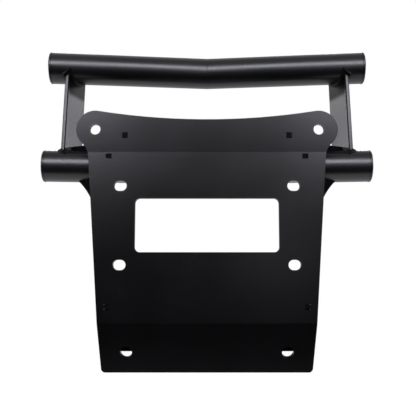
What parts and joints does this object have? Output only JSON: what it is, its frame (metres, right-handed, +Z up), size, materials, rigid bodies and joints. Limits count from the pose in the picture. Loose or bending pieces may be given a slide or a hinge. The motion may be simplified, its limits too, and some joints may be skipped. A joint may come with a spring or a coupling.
{
  "type": "atv front bumper",
  "caption": "Welded steel front bumper: two swept tubes with capped ends, joined by side plates to a bent mounting plate with winch bolt slots, a window and ears.",
  "frame": {"origin": "middle of the four winch bolt slots, on the mounting plate's rear face", "axes": "+X across the vehicle, +Y points ahead of the vehicle, +Z up; the plate's rear face looks along -Y"},
  "size_m": [0.332, 0.067, 0.3246],
  "materials": {
    "plate_coat": "satin black powder coat",
    "tube_coat": "semi-gloss black powder coat",
    "cap_coat": "semi-gloss black powder coat",
    "gusset_coat": "satin black powder coat",
    "weld_coat": "black powder coat over a rippled weld bead"
  },
  "bodies": {
    "root": {"mounting_plate": "plate_coat", "lower_tube_left": "tube_coat", "lower_tube_right": "tube_coat", "upper_tube_left": "tube_coat", "upper_tube_right": "tube_coat", "lower_end_cap_left": "cap_coat", "lower_end_cap_right": "cap_coat", "upper_end_cap_left": "cap_coat", "upper_end_cap_right": "cap_coat", "side_plate_left": "gusset_coat", "side_plate_right": "gusset_coat", "cradle_gusset_left": "gusset_coat", "cradle_gusset_right": "gusset_coat", "ear_rib_left": "gusset_coat", "ear_rib_right": "gusset_coat", "wing_gusset_left": "gusset_coat", "wing_gusset_right": "gusset_coat", "lower_brace": "gusset_coat", "side_plate_upper_weld_left": "weld_coat", "side_plate_upper_weld_right": "weld_coat", "side_plate_lower_weld_left": "weld_coat", "side_plate_lower_weld_right": "weld_coat"}
  },
  "joints": []
}
